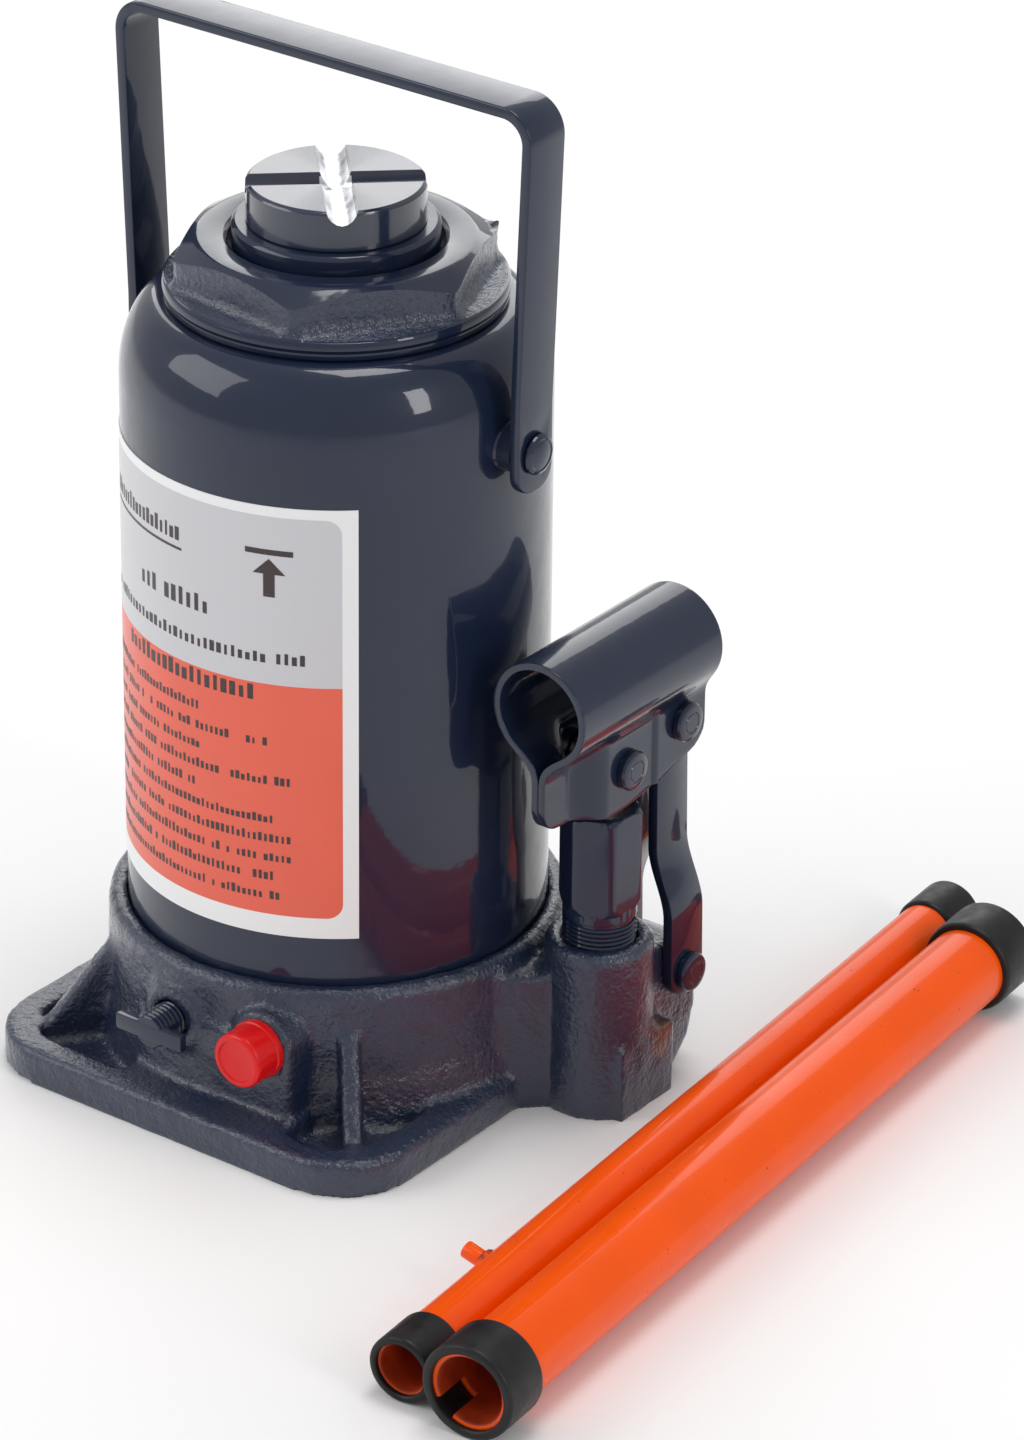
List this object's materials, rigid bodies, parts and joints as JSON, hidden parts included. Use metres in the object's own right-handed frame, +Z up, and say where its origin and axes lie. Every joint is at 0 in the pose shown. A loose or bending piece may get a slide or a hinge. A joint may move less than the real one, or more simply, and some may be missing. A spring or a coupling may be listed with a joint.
{
  "type": "bottle jack",
  "caption": "Hydraulic bottle jack with screw-out saddle, hand pump with lever socket and link, release valve, folding bail and a loose two-piece tube lever.",
  "frame": {"origin": "on the underside of the footplate, on the ram's axis", "axes": "+Z up along the ram; the valves face -Y; the hand pump and its lever socket stand on the +X side, with the socket's mouth towards -Y"},
  "size_m": [0.2255, 0.2779, 0.277],
  "materials": {
    "cast_paint": "rough cast, semi-gloss dark blue-grey paint",
    "gloss_paint": "smooth glossy dark blue-grey paint",
    "saddle_paint": "glossy paint over a turned and milled face",
    "label_film": "printed film with white border, grey and orange-red fields",
    "red_plastic": "moulded, slightly translucent",
    "orange_paint": "glossy orange enamel",
    "black_rubber": "matt moulded rubber",
    "bright_steel": "ground steel",
    "cylinder_steel": "honed tube",
    "seal_rubber": "nitrile rubber",
    "bearing_bronze": "turned bronze",
    "copper_washer": "annealed copper"
  },
  "bodies": {
    "jack_body": {"base_casting": "cast_paint", "tank_bottom_seal": "seal_rubber", "tank_shell": "gloss_paint", "tank_top_seal": "seal_rubber", "cylinder_gasket": "copper_washer", "pressure_cylinder": "cylinder_steel", "top_nut": "gloss_paint", "ram_guide_ring": "bearing_bronze", "ram_wiper_seal": "seal_rubber", "oil_filler_plug": "black_rubber", "data_label": "label_film", "bail_studs": "gloss_paint", "pump_barrel": "gloss_paint", "barrel_washer": "copper_washer", "plunger_gland_seal": "seal_rubber", "suction_strainer": "bearing_bronze", "delivery_valve_cage": "bright_steel", "link_base_pin": "gloss_paint", "overload_ball": "bright_steel", "overload_spring": "bright_steel", "overload_screw": "bright_steel", "overload_cap": "red_plastic"},
    "ram": {"ram": "saddle_paint", "piston_seal": "seal_rubber", "piston_guide_ring": "bearing_bronze", "seal_retaining_ring": "bright_steel"},
    "screw_stop": {"screw_stop_ring": "bright_steel"},
    "extension_screw": {"extension_screw": "saddle_paint"},
    "plunger": {"pump_plunger": "bright_steel", "plunger_cup_seal": "seal_rubber"},
    "links": {"link_plate_left": "gloss_paint", "link_plate_right": "gloss_paint", "link_top_pin": "gloss_paint"},
    "socket": {"lever_socket": "gloss_paint", "plunger_pin": "gloss_paint"},
    "bail": {"bail_handle": "gloss_paint"},
    "release_ball": {"release_ball": "bright_steel"},
    "release_valve": {"release_screw": "gloss_paint", "release_tommy_bar": "gloss_paint", "release_seal": "seal_rubber"},
    "suction_ball": {"suction_ball": "bright_steel"},
    "delivery_ball": {"delivery_ball": "bright_steel"},
    "thick_lever": {"thick_lever_tube": "orange_paint", "thick_lever_cap_near": "black_rubber", "thick_lever_cap_far": "black_rubber"},
    "thin_lever": {"thin_lever_tube": "orange_paint", "lever_peg": "orange_paint", "thin_lever_cap_near": "black_rubber", "thin_lever_cap_far": "black_rubber"}
  },
  "joints": [
    {"name": "ram_lift", "type": "slide", "parent": "jack_body", "child": "ram", "axis": [0, 0, 1], "range_m": [0, 0.15]},
    {"name": "screw_rise", "type": "slide", "parent": "ram", "child": "screw_stop", "axis": [0, 0, 1], "range_m": [0, 0.0272]},
    {"name": "screw_turn", "type": "hinge", "parent": "screw_stop", "child": "extension_screw", "pos_m": [0, 0, 0.2313], "axis": [0, 0, 1], "range_deg": [0, 1620]},
    {"name": "release_travel", "type": "slide", "parent": "jack_body", "child": "release_ball", "axis": [0, -1, 0], "range_m": [0, 0.00305]},
    {"name": "release_turn", "type": "hinge", "parent": "release_ball", "child": "release_valve", "pos_m": [-0.0057, -0.06, 0.0275], "axis": [0, -1, 0], "range_deg": [0, 720]},
    {"name": "bail_swing", "type": "hinge", "parent": "jack_body", "child": "bail", "pos_m": [0, 0, 0.1845], "axis": [1, 0, 0], "range_deg": [-100, 0]},
    {"name": "link_swing", "type": "hinge", "parent": "jack_body", "child": "links", "pos_m": [0.0756, 0.0365, 0.03], "axis": [1, 0, 0], "range_deg": [0, 1.2]},
    {"name": "lever_pump", "type": "hinge", "parent": "links", "child": "socket", "pos_m": [0.0756, 0.035, 0.103], "axis": [-1, 0, 0], "range_deg": [0, 40]},
    {"name": "plunger_stroke", "type": "slide", "parent": "jack_body", "child": "plunger", "axis": [0, 0, 1], "range_m": [0, 0.0158]},
    {"name": "suction_ball_lift", "type": "slide", "parent": "jack_body", "child": "suction_ball", "axis": [0, 0, 1], "range_m": [0, 0.0015]},
    {"name": "delivery_ball_lift", "type": "slide", "parent": "jack_body", "child": "delivery_ball", "axis": [0, 0, 1], "range_m": [0, 0.0008]},
    {"name": "thick_lever_pick_up", "type": "slide", "parent": "jack_body", "child": "thick_lever", "axis": [0, 0, 1], "range_m": [0, 0.15]},
    {"name": "thin_lever_pick_up", "type": "slide", "parent": "jack_body", "child": "thin_lever", "axis": [0, 0, 1], "range_m": [0, 0.15]}
  ],
  "couplings": [
    {"joint": "screw_rise", "follows": "screw_turn", "m_per_rad": 0.00095493},
    {"joint": "bail_swing", "follows": "ram_lift", "rad_per_m": -11.52},
    {"joint": "release_travel", "follows": "release_turn", "m_per_rad": 0.00023873},
    {"joint": "link_swing", "follows": "lever_pump", "ratio": 0.02355},
    {"joint": "plunger_stroke", "follows": "lever_pump", "m_per_rad": 0.022345}
  ]
}
